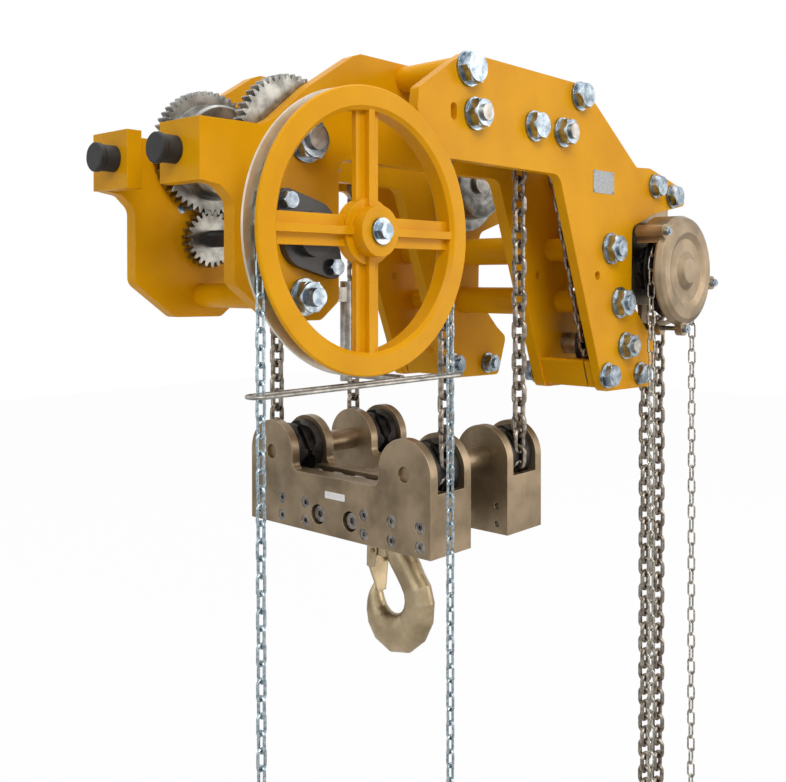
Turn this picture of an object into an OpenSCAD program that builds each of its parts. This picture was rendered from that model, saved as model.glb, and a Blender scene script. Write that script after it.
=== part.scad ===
// Low headroom trolley hoist: a geared push trolley with its hand chain hoist hung beside it,
// so that the four-fall load chain can draw the hook block right up under the beam.
// X runs along the beam, Y across it and Z up. The origin is midway between the wheels,
// on the top of the beam's lower flange, where the wheel treads roll.

/* [Trolley] */
// Distance between the wheel axles along the beam
wheelbase = 708; // [680:4:760]
// Radius of the wheel tread at the middle of its width
tread_r = 82; // [78:1:86]
// Width of the tread
tread_w = 38; // [30:1:42]
// Space between the inner plates
gauge = 242; // [236:2:260]
// Running gap between a wheel and its plate
wheel_gap = 1.2; // [0.8:0.1:2]
// Diameter of the wheel axles
axle_d = 36; // [30:1:40]
// Outer diameter of the wheel bearings
bearing_od = 72; // [66:1:80]

/* [Side plates] */
// Thickness of the inner plates
inner_t = 25; // [20:1:30]
// Thickness of the outer plates
outer_t = 20; // [16:1:26]
// Clear width of the chain pocket between an inner and an outer plate
pocket_w = 125; // [118:1:140]
// Height of the plates above the tread line
plate_top = 240; // [232:1:260]
// Height of the underside of the top band above the tread line
band_z = 59; // [52:1:66]
// Depth of the hoist leg below the tread line
leg_drop = 366; // [360:1:400]
// Depth of the drive lobe below the tread line
lobe_drop = 205; // [196:1:220]

/* [Gears] */
// Gear module
module_m = 4; // [4:0.05:4.2]
// Teeth on each geared wheel
wheel_teeth = 52; // [52:1:54]
// Teeth on each pinion
pinion_teeth = 23; // [22:1:24]
// Face width of the gears
gear_w = 20; // [16:1:22]
// Backlash between meshing teeth
backlash = 0.6; // [0.4:0.1:1]

/* [Drive] */
// Diameter of the drive shaft
shaft_d = 30; // [25:1:34]
// Distance from the near plate's outer face to the hand wheel's middle plane
wheel_reach = 135; // [130:1:150]
// Outer radius of the trolley hand wheel
rim_r = 216; // [212:1:224]
// Width of the hand wheel's rim
rim_w = 38; // [34:1:42]
// Thickness of the hand wheel's web
web_t = 9; // [7:1:12]
// Width of a spoke
spoke_w = 46; // [38:1:54]

/* [Trolley hand chain] */
// Pitch of the trolley's hand chain
hand_p = 23.7; // [23:0.1:24]
// Wire diameter of the trolley's hand chain
hand_d = 4.8; // [4:0.2:5]
// Depth of the chain loop's lowest point below the tread line
hand_drop = 1370; // [1300:10:1500]

/* [Load chain] */
// Pitch of the load chain
load_p = 30; // [29.5:0.1:30.5]
// Wire diameter of the load chain
load_d = 9.7; // [9:0.1:9.8]
// Distance of each fall from the middle, along the beam
fall_x = 107; // [104:1:112]
// Height of the top chain wheels above the tread line
top_z = 139; // [134:1:144]
// Distance of the lower guide wheel from the middle, along the beam
idler_x = 389; // [387:1:391]
// Depth of the lower guide wheel below the tread line
idler_drop = 276; // [274:1:278]
// Depth of the slack loop's lowest point below the tread line
slack_drop = 1330; // [1250:10:1450]

/* [Hook block] */
// Depth of the block's chain wheel axles below the tread line
block_drop = 476; // [470:1:500]
// Distance of the block's chain wheels from the middle, across the beam
block_y = 178; // [178:1:178]
// Radius of the lobes around the chain wheels
lobe_r = 62; // [60:1:66]
// Width of each cage along the beam
cage_w = 107; // [104:1:110]
// Thickness of the cage walls
cage_wall = 18; // [15:1:20]
// Distance from the wheel axles down to the underside of the block
cage_h = 138; // [130:1:146]
// Distance from the wheel axles down to the top of the bar
bar_drop = 29; // [26:1:32]
// Diameter of the block's cross axles
block_axle_d = 28; // [25:1:32]

/* [Hook] */
// Radius of the hook's bowl
bowl_r = 36; // [32:1:38]
// Depth of the forged section under the bowl
bowl_t = 77; // [70:1:80]
// Thickness of the forged section across the hook
hook_t = 48; // [42:1:52]
// Diameter of the hook's shank
shank_d = 48; // [42:1:50]
// Distance from the underside of the block to the centre of the bowl
bowl_drop = 147; // [140:1:154]
// Angle at which the hook hangs, turned about its shank
hook_turn = 0; // [0:5:45]

/* [Hoist] */
// Distance of the hoist's axis from the middle, along the beam
hoist_x = 527; // [520:1:536]
// Depth of the hoist's axis below the tread line
hoist_drop = 120; // [114:1:126]
// Distance from the chain plane to the hoist's hand wheel
hoist_wheel_y = 101; // [98:1:108]
// Pitch of the hoist's hand chain
pull_p = 29; // [28:0.5:29.5]
// Wire diameter of the hoist's hand chain
pull_d = 4.4; // [4:0.1:4.8]
// Radius of the hand wheel cover
cover_r = 118; // [114:1:122]
// Depth of the hand wheel cover
cover_w = 68; // [66:1:70]
// Depth of the pull chain loop's lowest point below the tread line
pull_drop = 1400; // [1350:10:1500]

/* [Hidden] */
$fn = 96;
// running clearance between a shaft and its bore, and the gap left where pieces of one body meet
run_c = 0.05;
seat_c = 0.3;

yellow = "#f0a010";
zinc = "#c9ccca";
steel = "#a9adaf";
black = "#2a2a2c";
bronze = "#a08a68";
dark_chain = "#7d7468";

// heights and places
axle_z = tread_r;
mesh_c = module_m * (wheel_teeth + pinion_teeth) / 2;
shaft_z = axle_z - mesh_c;
wheel_x = wheelbase / 2;
shaft_x = -wheel_x;
tie_z = shaft_z - 99;
load_n = 5;
hand_n = 26;
pull_n = 10;
load_r = pocket_r(load_p, load_d, load_n);
hand_r = pocket_r(hand_p, hand_d, hand_n);
pull_r = pocket_r(pull_p, pull_d, pull_n);
top_x = fall_x + load_r;
far_x = fall_x - load_r;
hoist_z = -hoist_drop;
idler_z = -idler_drop;
block_z = -block_drop;
gear_r = module_m * (wheel_teeth + 2) / 2;

// planes across the beam
inner_in = gauge / 2;
inner_out = inner_in + inner_t;
outer_in = inner_out + pocket_w;
outer_out = outer_in + outer_t;
chain_y = block_y + load_r;
wheel_plane = inner_out + wheel_reach;
hoist_wheel_plane = chain_y + hoist_wheel_y;

// through bolts: place along the beam, height, diameter
bolt_a = [-124, plate_top - 27, 30];
bolt_e = [215, plate_top - 24, 28];
bolt_c = [64, 140, 28];
bolt_f = [514, 64, 26];
bolt_g = [592, 47, 26];
bolt_h = [331, -76, 32];
bolt_i = [366, -186, 32];
bolt_k = [318, 33 - leg_drop, 26];
bolt_l = [449, 28 - leg_drop, 24];
pocket_bolts = [bolt_a, bolt_c, bolt_e, bolt_f, bolt_g, bolt_k, bolt_l];
cross_bolts = [bolt_h, bolt_i];
spacer_t = 8;
nut_h = 20;
washer_t = 5;
pin_d = 28;

// Helpers

// radius, on a wheel with n pockets, of the circle through the end wires of the links that lie flat
function pocket_r(pitch, wire, n) =
    norm([pitch / sin(90 / n), wire / cos(90 / n)]) / 2;

// one rounded corner: points of the arc that blends the corner b between a and c with radius r
function corner(a, b, c, r) =
    let (u = (a - b) / norm(a - b), v = (c - b) / norm(c - b))
    let (half = acos(max(-1, min(1, u * v))) / 2)
    let (back = r / tan(half), m = (u + v) / norm(u + v))
    let (o = b + m * r / sin(half), p = b + u * back, q = b + v * back)
    let (a0 = atan2(p[1] - o[1], p[0] - o[0]), a1 = atan2(q[1] - o[1], q[0] - o[0]))
    let (turn = a1 - a0 > 180 ? a1 - a0 - 360 : a1 - a0 < -180 ? a1 - a0 + 360 : a1 - a0)
    let (n = max(2, ceil(abs(turn) / (r > 30 ? 6 : 12))))
    [for (i = [0 : n]) o + r * [cos(a0 + turn * i / n), sin(a0 + turn * i / n)]];

// outline with rounded corners: each point is [x, y, radius], and a radius of 0 keeps it sharp
function rounded(pts) =
    [for (i = [0 : len(pts) - 1])
        let (n = len(pts), a = pts[(i + n - 1) % n], b = pts[i], c = pts[(i + 1) % n])
        each b[2] == 0 ? [[b[0], b[1]]]
            : corner([a[0], a[1]], [b[0], b[1]], [c[0], c[1]], b[2])];

// a plate whose outline is drawn along the beam and upwards, lying between two planes across it
module plate(y0, y1, outline) {
    translate([0, max(y0, y1), 0])
        rotate([90, 0, 0])
            linear_extrude(abs(y1 - y0))
                polygon(outline);
}

// a round bar across the beam
module bar_y(x, z, r, y0, y1) {
    translate([x, min(y0, y1), z])
        rotate([-90, 0, 0])
            cylinder(r = r, h = abs(y1 - y0));
}

// a round bar along the beam
module bar_x(y, z, r, x0, x1) {
    translate([min(x0, x1), y, z])
        rotate([0, 90, 0])
            cylinder(r = r, h = abs(x1 - x0));
}

// a ring across the beam
module ring_y(x, z, r_out, r_in, y0, y1) {
    difference() {
        bar_y(x, z, r_out, y0, y1);
        bar_y(x, z, r_in, min(y0, y1) - 1, max(y0, y1) + 1);
    }
}

// a hexagon across the beam, with its corners turned off at the outer end
module hex_y(x, z, across, y0, y1) {
    r = across / sqrt(3);
    low = min(y0, y1);
    high = max(y0, y1);
    outward = y1 > y0;
    translate([x, low, z])
        rotate([-90, 0, 0])
            intersection() {
                cylinder(r = r, h = high - low, $fn = 6);
                union() {
                    cylinder(r1 = outward ? r + 4 : across / 2, r2 = outward ? across / 2 : r + 4,
                        h = high - low);
                    translate([0, 0, outward ? -3 : 3])
                        cylinder(r = r + 4, h = high - low);
                }
            }
}

// a profile turned about an axis across the beam; the profile is [radius, distance from the middle]
module turned_y(x, z, profile, away) {
    translate([x, 0, z])
        rotate([away > 0 ? -90 : 90, 0, 0])
            rotate_extrude()
                polygon(profile);
}

// Chains

// one welded link along z: two straight sides and two round crowns, its width along x
module link(pitch, wire, width) {
    side = (width - wire) / 2;
    crown = (pitch + wire) / 2 - side;
    r = wire / 2 - seat_c / 2;
    for (s = [-1, 1]) {
        translate([s * side, 0, -crown])
            cylinder(r = r, h = 2 * crown, $fn = 16);
        translate([0, 0, s * crown])
            rotate([90, 0, 0])
                rotate([0, 0, s > 0 ? 0 : 180])
                    rotate_extrude(angle = 180, $fn = 32)
                        translate([side, 0])
                            circle(r = r, $fn = 16);
    }
}

// the same link set from joint a to joint b, its width along w
module link_between(a, b, w, pitch, wire, width) {
    t = (b - a) / norm(b - a);
    u = (w - (w * t) * t) / norm(w - (w * t) * t);
    v = cross(t, u);
    m = (a + b) / 2;
    multmatrix([
        [u[0], v[0], t[0], m[0]],
        [u[1], v[1], t[1], m[1]],
        [u[2], v[2], t[2], m[2]]
    ])
        link(pitch, wire, width);
}

// A route is a list of stretches: [length, start, direction] when straight, or
// [length, centre, radius, outward, forward] round a wheel. This is the point at a distance s.
function at(route, s, i = 0) =
    let (leg = route[i])
    s > leg[0] && i < len(route) - 1 ? at(route, s - leg[0], i + 1)
    : len(leg) == 3 ? leg[1] + leg[2] * s
    : leg[1] + leg[2] * (cos(s / leg[2] * 180 / PI) * leg[3] + sin(s / leg[2] * 180 / PI) * leg[4]);

function run_to(route, n) = n == 0 ? 0 : route[n - 1][0] + run_to(route, n - 1);

// the distance along the route of the point that lies a straight step away from the one at s
function step_on(route, s, step, k = 0, t = -1) =
    let (g = t < 0 ? s + step : t)
    k == 5 ? g : step_on(route, s, step, k + 1, g + step - norm(at(route, g) - at(route, s)));

function straight(a, b) = [norm(b - a), a, (b - a) / norm(b - a)];
function arc(c, r, outward, forward, turn) = [r * turn * PI / 180, c, r, outward, forward];

// the links of a chain, as [one end, other end, number]; on each wheel the flat links reach from end
// wire to end wire and the others hold them. The links that lie flat change between the odd and
// the even ones wherever the chain passes from one plane to the other, at the distances in swaps.
function swapped(s, swaps) = len([for (m = swaps) if (s > m) m]) % 2;
function links(route, pitch, wire, swaps = [], count = 10000) =
    let (whole = run_to(route, len(route)))
    [for (i = 0, s = 0;
          s < whole - pitch / 2 && i < count;
          t = step_on(route, s, (i + swapped(s, swaps)) % 2 == 0 ? pitch + wire : pitch - wire),
          s = swapped(s, swaps) == swapped(t, swaps) ? t : step_on(route, s, pitch),
          i = i + 1)
        let (flat = (i + swapped(s, swaps)) % 2 == 0)
        [at(route, s), at(route, step_on(route, s, flat ? pitch + wire : pitch - wire)), i, s]];

function between(list, lo, hi) = [for (k = list) if (k[3] >= lo && k[3] < hi) k];

// the given links, the even ones with their width along w and the odd ones square to them
module chain(list, w, pitch, wire, width, odd = 0) {
    for (k = list) {
        side = (k[2] + odd) % 2 == 0 ? w : cross(k[1] - k[0], w);
        link_between(k[0], k[1], side, pitch, wire, width);
    }
}

// a closed hanging loop: over the wheel at c, down k pairs of links, and round again at the bottom
function loop(c, r, k, pitch) =
    let (x = [1, 0, 0], z = [0, 0, 1], low = c - z * 2 * pitch * k)
    [arc(c, r, -x, z, 180), straight(c + x * r, low + x * r), arc(low, r, x, -z, 180),
     straight(low - x * r, c - x * r)];

hand_k = round((shaft_z + hand_drop - hand_r) / 2 / hand_p);
hand_c = [shaft_x, -wheel_plane, shaft_z];
hand_links = links(loop(hand_c, hand_r, hand_k, hand_p), hand_p, hand_d);
pull_k = round((hoist_z + pull_drop - pull_r) / 2 / pull_p);
pull_c = [hoist_x, -hoist_wheel_plane, hoist_z];
pull_links = links(loop(pull_c, pull_r, pull_k, pull_p), pull_p, pull_d);
hand_w = 17;
pull_w = 19;
load_w = 34;

// the load chain: from its anchor down the first fall, under the block's front wheels, up and over
// the far pair, down, under the rear wheels, up and over the top wheel, down inside the leg, under
// the guide wheel, over the load sheave, and down and up the slack loop to its end pin
ex = [1, 0, 0];
ey = [0, 1, 0];
ez = [0, 0, 1];
anchor_pin_r = 6;
anchor_pin_z = 104;
first_z = anchor_pin_z + anchor_pin_r + load_d / 2 + seat_c / 2;
wheel_d = [top_x, -chain_y, top_z];
wheel_j = [idler_x, -chain_y, idler_z];
wheel_h = [hoist_x, -chain_y, hoist_z];

// the angle of a line that crosses between two equal wheels, leaving the first on its left
function cross_angle(a, b, side) =
    let (v = b - a, n = norm(v))
    atan2(v[2], v[0]) - side * asin(2 * load_r / n);
function dir_xz(a) = [cos(a), 0, sin(a)];
lead_a = cross_angle(wheel_d, wheel_j, 1);
rise_a = cross_angle(wheel_j, wheel_h, -1);
slack_x = 592;
slack_gap = 60;
slack_a = -84;
slack_start = wheel_h + load_r * dir_xz(slack_a + 90);
slack_knee = slack_start + dir_xz(slack_a) * (slack_x - slack_start[0]) / cos(slack_a);
slack_r = slack_gap / 2;
slack_low = [slack_x, -chain_y, slack_r - slack_drop];
slack_end_z = -84;

function fall(x, side, z0, z1) = straight([x, side * chain_y, z0], [x, side * chain_y, z1]);
function cage_run(x, side) = [
    arc([x, side * block_y, block_z], load_r, side * ey, -ez, 90),
    straight([x, side * block_y, block_z - load_r], [x, -side * block_y, block_z - load_r]),
    arc([x, -side * block_y, block_z], load_r, -ez, -side * ey, 90)
];
load_route = [
    fall(-fall_x, -1, first_z, block_z),
    each cage_run(-fall_x, -1),
    fall(-fall_x, 1, block_z, top_z),
    arc([-far_x, chain_y, top_z], load_r, -ex, ez, 90),
    straight([-far_x, chain_y, top_z + load_r], [far_x, chain_y, top_z + load_r]),
    arc([far_x, chain_y, top_z], load_r, ez, ex, 90),
    fall(fall_x, 1, top_z, block_z),
    each cage_run(fall_x, 1),
    fall(fall_x, -1, block_z, top_z),
    arc(wheel_d, load_r, -ex, ez, 90 - lead_a),
    straight(wheel_d + load_r * dir_xz(lead_a + 90), wheel_j - load_r * dir_xz(lead_a + 90)),
    arc(wheel_j, load_r, -dir_xz(lead_a + 90), dir_xz(lead_a), rise_a - lead_a),
    straight(wheel_j - load_r * dir_xz(rise_a + 90), wheel_h + load_r * dir_xz(rise_a + 90)),
    arc(wheel_h, load_r, dir_xz(rise_a + 90), dir_xz(rise_a), rise_a - slack_a),
    straight(slack_start, slack_knee),
    straight(slack_knee, slack_low),
    arc(slack_low + ex * slack_r, slack_r, -ex, -ez, 180),
    straight(slack_low + ex * slack_gap, [slack_x + slack_gap, -chain_y, slack_end_z])
];
function mid_run(n) = run_to(load_route, n) + load_route[n][0] / 2;
load_all = links(load_route, load_p, load_d, [mid_run(4), mid_run(8), mid_run(12)]);
load_count = len(load_all) - len(load_all) % 2 + 1 > len(load_all) ? len(load_all) - 1 : len(load_all);
load_links = [for (k = load_all) if (k[2] < load_count) k];
load_last = load_links[len(load_links) - 1];

// where the chain's parts meet: just above the block's lobes, and just below the top wheels
cut_low = lobe_r + 10;
cut_top = 20;
mark = [
    run_to(load_route, 1) - cut_low, run_to(load_route, 4) + cut_low,
    run_to(load_route, 5) - cut_top, run_to(load_route, 8) + cut_top,
    run_to(load_route, 9) - cut_low, run_to(load_route, 12) + cut_low,
    run_to(load_route, 13) - cut_top, run_to(load_route, 18)
];

// the direction from a wheel's axle to the pocket that holds one of its flat links
function seat_angle(n, across = false) =
    let (leg = load_route[n], lo = run_to(load_route, n), half = asin((load_p + load_d) / 2 / load_r))
    let (k = [for (k = load_all) if (k[3] >= lo && k[3] <= lo + leg[0]) k][0])
    let (a = (k[3] - lo) / leg[2] * 180 / PI + (norm(k[1] - k[0]) > load_p ? half : -half))
    let (d = cos(a) * leg[3] + sin(a) * leg[4])
    across ? atan2(d[2], d[1]) : atan2(d[2], d[0]);

// Wheels for chain, drawn about their own axis along z

// a wheel with pockets for round link chain, one pocket centred on the x axis
module pocket_wheel(r, pitch, wire, width, n, body_w, rim_over, bore) {
    flat_half = asin((pitch + wire) / 2 / r);
    floor_r = r * cos(flat_half) - wire / 2 - seat_c;
    slot_r = r - width / 2 - 1.5;
    long = pitch + 2 * wire + 6;
    wide = width + 2;
    difference() {
        cylinder(r = r + rim_over, h = body_w, center = true);
        difference() {
            cylinder(r = r + rim_over + 1, h = wire + 2.4, center = true);
            cylinder(r = slot_r, h = wire + 4, center = true);
        }
        for (i = [0 : n - 1])
            rotate([0, 0, i * 360 / n])
                translate([floor_r, 0, 0])
                    rotate([0, 90, 0]) {
                        translate([-wide / 2, -(long - wide) / 2, 0])
                            cube([wide, long - wide, r]);
                        for (s = [-1, 1])
                            translate([0, s * (long - wide) / 2, 0])
                                cylinder(r = wide / 2, h = r, $fn = 48);
                    }
        cylinder(r = bore, h = body_w + 2, center = true);
    }
}

// the pair of rows of lugs that push on the flat links of a light chain, round a rim of radius r
module lugs(r, pitch, wire, width, n) {
    flat_half = asin((pitch + wire) / 2 / r);
    gap = 360 / n - 2 * asin((pitch / 2 + wire + 0.8) / r);
    long = 2 * r * sin(gap / 2);
    for (i = [0 : n - 1])
        rotate([0, 0, (i + 0.5) * 360 / n])
            for (s = [-1, 1])
                translate([r * cos(flat_half) - wire / 2 - 1, -long / 2, s * (wire / 2 + 1.4) - (s < 0 ? 3 : 0)])
                    cube([wire + 1, long, 3]);
}

// a spur gear with involute flanks, one tooth centred on the x axis
function involute(rb, r) = let (a = acos(min(1, rb / r))) tan(a) * 180 / PI - a;
function flank(m, n, slack, r) =
    let (rp = m * n / 2, rb = rp * cos(20))
    90 / n - slack / 4 / rp * 180 / PI + involute(rb, rp) - involute(rb, max(r, rb));
function gear_outline(m, n, slack) =
    let (ro = m * (n + 2) / 2, ri = m * (n - 2.4) / 2, rb = m * n / 2 * cos(20), low = max(rb, ri))
    [for (i = [0 : n - 1], side = [-1, 1], k = [0 : 4])
        let (f = side < 0 ? k / 4 : 1 - k / 4)
        let (r = k == 0 && side < 0 || k == 4 && side > 0 ? ri : low + (ro - low) * f)
        r * [cos(i * 360 / n + side * flank(m, n, slack, r)), sin(i * 360 / n + side * flank(m, n, slack, r))]];

// Trolley frame

left_edge = -552;
pad_t = 25;
pad_low = 4;
pad_high = 96;
pad_in = 45;
lobe_x = -282;
leg_edge = 415;
portal_x = 148;

// the shared right-hand part of both plates: the arm over the hoist and the leg beneath it
leg_outline = [
    [209, plate_top, 10], [276, plate_top - 31, 14], [437, 98, 16], [496, 101, 10],
    [649, 66, 12], [654, 30, 10], [518, 5, 14], [419, -28, 24], [leg_edge, -183, 20],
    [487, -253, 16], [523, -279, 16], [492, -leg_drop - 3, 14], [308, 1 - leg_drop, 16],
    [portal_x, band_z, 26]
];
inner_outline = rounded(concat([
    [lobe_x, band_z, 22], [lobe_x, 30 - lobe_drop, 14], [-321, -lobe_drop, 16],
    [-415, 1 - lobe_drop, 16], [-492, -146, 20], [-492, -23, 22], [-515, -1, 14],
    [left_edge + 6, pad_low, 3], [left_edge + 6, pad_high, 3], [-467, 97, 20], [-441, 97, 20],
    [-416, 110, 20], [-345, 170, 10], [-250, plate_top - 7, 14], [-232, plate_top, 8]
], leg_outline));
outer_outline = rounded(concat([
    [-176, band_z, 10], [-249, 127, 14], [-244, 165, 10], [-170, 215, 20],
    [-128, plate_top, 14]
], leg_outline));

module holes(list, grow, y0, y1) {
    for (b = list)
        bar_y(b[0], b[1], b[2] / 2 + grow, min(y0, y1) - 1, max(y0, y1) + 1);
}

top_pin = [top_x, top_z, pin_d];
idler_pin = [idler_x, idler_z, pin_d];
anchor_pin = [-fall_x, bolt_c[1], pin_d];
near_pins = [top_pin, idler_pin, anchor_pin];
far_pins = [[-far_x, top_z, pin_d], [far_x, top_z, pin_d]];
near_bolts = pocket_bolts;
far_bolts = [bolt_a, bolt_e, bolt_f, bolt_g, bolt_k, bolt_l];
function pins_on(side) = side < 0 ? near_pins : far_pins;
function bolts_on(side) = side < 0 ? near_bolts : far_bolts;
tie_x = -358;
tie_d = 30;
tie = [tie_x, tie_z, tie_d];
bearing_turn = 47;
bearing_reach = 70;
bearing_bolts = [for (k = [-1, 1])
    [shaft_x + k * bearing_reach * cos(bearing_turn), shaft_z - k * bearing_reach * sin(bearing_turn), 16]];
bolt_c0 = 0.2;

module inner_plate(side) {
    y0 = side * inner_in;
    y1 = side * inner_out;
    color(yellow)
        difference() {
            union() {
                plate(y0, y1, inner_outline);
                translate([left_edge, side > 0 ? pad_in : -inner_out, pad_low])
                    cube([pad_t, inner_out - pad_in, pad_high - pad_low]);
            }
            holes(pins_on(side), bolt_c0, y0, y1);
            holes(bolts_on(side), bolt_c0, y0, y1);
            holes(cross_bolts, bolt_c0, y0, y1);
            holes([tie], bolt_c0, y0, y1);
            for (k = [-1, 1])
                bar_y(k * wheel_x, axle_z, axle_d / 2 + bolt_c0, min(y0, y1) - 1, max(y0, y1) + 1);
            bar_y(shaft_x, shaft_z, shaft_d / 2 + 4, min(y0, y1) - 1, max(y0, y1) + 1);
            holes(bearing_bolts, bolt_c0, y0, y1);
            bar_y(283, -131, 9, min(y0, y1) - 1, max(y0, y1) + 1);
            bar_x(side * buffer_y, buffer_z, 6 + bolt_c0, left_edge - 1, left_edge + pad_t + 1);
        }
}
module inner_plate_near() inner_plate(-1);
module inner_plate_far() inner_plate(1);

module outer_plate(side) {
    y0 = side * outer_in;
    y1 = side * outer_out;
    color(yellow)
        difference() {
            plate(y0, y1, outer_outline);
            holes(pins_on(side), bolt_c0, y0, y1);
            holes(bolts_on(side), bolt_c0, y0, y1);
            holes(cross_bolts, bolt_c0, y0, y1);
            bar_y(283, -131, 9, min(y0, y1) - 1, max(y0, y1) + 1);
            for (z = [131, 144])
                bar_y(-160, z, 8, min(y0, y1) - 1, max(y0, y1) + 1);
            translate([-168, min(y0, y1) - 1, 131])
                cube([16, outer_t + 2, 13]);
        }
}
module outer_plate_near() outer_plate(-1);
module outer_plate_far() outer_plate(1);

foot_outline = rounded([
    [290, bolt_k[1] + 31, 5], [325, bolt_k[1] + 31, 8], [340, bolt_k[1] - 26, 8], [311, bolt_k[1] - 26, 5]
]);

// tubes that hold the inner and outer plates apart, and a parted block round the lowest bolt of each leg
module pocket_spacers() {
    part_y = outer_in - 22;
    color(yellow)
        for (side = [-1, 1]) {
            for (b = concat(bolts_on(side), cross_bolts))
                if (b != bolt_k)
                    ring_y(b[0], b[1], b[2] / 2 + spacer_t, b[2] / 2 + bolt_c0, side * inner_out, side * outer_in);
            difference() {
                union() {
                    plate(side * inner_out, side * part_y, foot_outline);
                    plate(side * (part_y + 5), side * outer_in, foot_outline);
                }
                bar_y(bolt_k[0], bolt_k[1], bolt_k[2] / 2 + bolt_c0, -outer_in - 1, outer_in + 1);
            }
        }
}

// tubes between the two legs, and one between the two drive lobes, all passing under the beam
module cross_tubes() {
    color(yellow) {
        for (b = cross_bolts)
            ring_y(b[0], b[1], b[2] / 2 + 14, b[2] / 2 + bolt_c0, -inner_in, inner_in);
        ring_y(tie_x, tie_z, tie_d / 2 + 6, tie_d / 2 + bolt_c0, -inner_in, inner_in);
    }
}

module washer_y(x, z, d, y0, y1) {
    ring_y(x, z, d, d / 2 + bolt_c0, y0, y1);
}

// bolts of the chain pockets, their heads outside
module pocket_bolts() {
    color(zinc)
        for (side = [-1, 1], b = bolts_on(side)) {
            bar_y(b[0], b[1], b[2] / 2, side * (inner_in - washer_t - nut_h - 6), side * (outer_out + washer_t));
            hex_y(b[0], b[1], 1.6 * b[2], side * (outer_out + washer_t), side * (outer_out + washer_t + 0.62 * b[2]));
        }
}

function all_pins(side) = concat(bolts_on(side), pins_on(side));

// nuts and washers of the pocket bolts, of the chain wheel axles and of the trolley wheel axles
module frame_nuts() {
    color(zinc)
        for (side = [-1, 1]) {
            for (b = all_pins(side)) {
                washer_y(b[0], b[1], b[2], side * inner_in, side * (inner_in - washer_t));
                washer_y(b[0], b[1], b[2], side * outer_out, side * (outer_out + washer_t));
                nut(b, side * (inner_in - washer_t), -side);
            }
            for (b = pins_on(side))
                nut(b, side * (outer_out + washer_t), side);
            for (k = [-1, 1]) {
                washer_y(k * wheel_x, axle_z, axle_d, side * inner_out, side * (inner_out + washer_t));
                nut([k * wheel_x, axle_z, axle_d], side * (inner_out + washer_t), side);
            }
        }
}

// a nut on a bolt, from the plane y outwards
module nut(b, y, out) {
    difference() {
        hex_y(b[0], b[1], 1.6 * b[2], y, y + out * nut_h);
        bar_y(b[0], b[1], b[2] / 2 + bolt_c0 / 2, y - nut_h - 1, y + nut_h + 1);
    }
}

// axles of the top and guide chain wheels, with the collars that keep each wheel in the middle of
// the chain, and the bolt that carries the chain's anchor
module chain_axles() {
    gap = 0.5;
    color(zinc)
        for (side = [-1, 1]) {
            for (b = pins_on(side))
                bar_y(b[0], b[1], b[2] / 2, side * (inner_in - washer_t - nut_h - 6),
                    side * (outer_out + washer_t + nut_h + 6));
            for (b = side < 0 ? [top_pin, idler_pin] : far_pins) {
                ring_y(b[0], b[1], 23, b[2] / 2 + bolt_c0, side * inner_out, side * (chain_y - chain_half - gap));
                ring_y(b[0], b[1], 23, b[2] / 2 + bolt_c0, side * (chain_y + chain_half + gap), side * outer_in);
            }
        }
}

// long rods through both legs and through both drive lobes, with their nuts and washers
module cross_rods() {
    far = outer_out + washer_t + nut_h + 6;
    color(zinc) {
        for (b = cross_bolts) {
            bar_y(b[0], b[1], b[2] / 2, -far, far);
            for (side = [-1, 1]) {
                washer_y(b[0], b[1], b[2], side * outer_out, side * (outer_out + washer_t));
                nut(b, side * (outer_out + washer_t), side);
            }
        }
        bar_y(tie_x, tie_z, tie_d / 2, -inner_out - washer_t - 34, inner_out + washer_t + 34);
        for (side = [-1, 1]) {
            washer_y(tie_x, tie_z, tie_d, side * inner_out, side * (inner_out + washer_t));
            nut(tie, side * (inner_out + washer_t), side);
        }
    }
}

buffer_y = 84;
buffer_z = 52;
buffer_r = 21;
buffer_l = 35;

module rubber_buffers() {
    color(black)
        for (side = [-1, 1])
            translate([left_edge, side * buffer_y, buffer_z])
                rotate([0, -90, 0])
                    rotate_extrude()
                        polygon([[6 + bolt_c0, 0], [buffer_r, 0], [buffer_r, buffer_l - 12],
                            [buffer_r + 2, buffer_l - 9],
                            [buffer_r + 2, buffer_l - 2], [buffer_r, buffer_l], [0, buffer_l], [0, buffer_l - 8],
                            [6 + bolt_c0, buffer_l - 8]]);
}

// screws of the buffers and of the shaft's bearing housings
module frame_screws() {
    color(zinc)
        for (side = [-1, 1]) {
            bar_x(side * buffer_y, buffer_z, 6, left_edge - buffer_l + 8 + seat_c, left_edge + pad_t);
            bar_x(side * buffer_y, buffer_z, 11, left_edge + pad_t, left_edge + pad_t + 8);
            for (b = bearing_bolts) {
                bar_y(b[0], b[1], b[2] / 2, side * inner_in, side * (inner_out + 14));
                hex_y(b[0], b[1], 1.6 * b[2], side * (inner_out + 14), side * (inner_out + 26));
            }
        }
}

// Wheels

wheel_out = inner_in - wheel_gap;
wheel_in = wheel_out - gear_w - tread_w;
axle_in = wheel_in - 4;

module wheel_axles() {
    color(steel)
        for (side = [-1, 1], k = [-1, 1])
            union() {
                bar_y(k * wheel_x, axle_z, axle_d / 2, side * (axle_in + 2), side * (inner_out + washer_t + nut_h + 8));
                bar_y(k * wheel_x, axle_z, axle_d / 2 + 6, side * axle_in, side * (axle_in + 3.6));
            }
}

// the tread and hub of a wheel, turned about its axle; distances are from the middle of the beam
module wheel_body(x, side, flange) {
    d0 = wheel_in;
    d1 = wheel_out - gear_w;
    turned_y(x, axle_z, concat([
        [bearing_od / 2, d0 + 6], [bearing_od / 2 + 7, d0 + 6], [bearing_od / 2 + 13, d0], [tread_r - 6, d0],
        [tread_r - 2, d0 + 3], [tread_r + 1.5, d1]
    ], flange), side);
}

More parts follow.
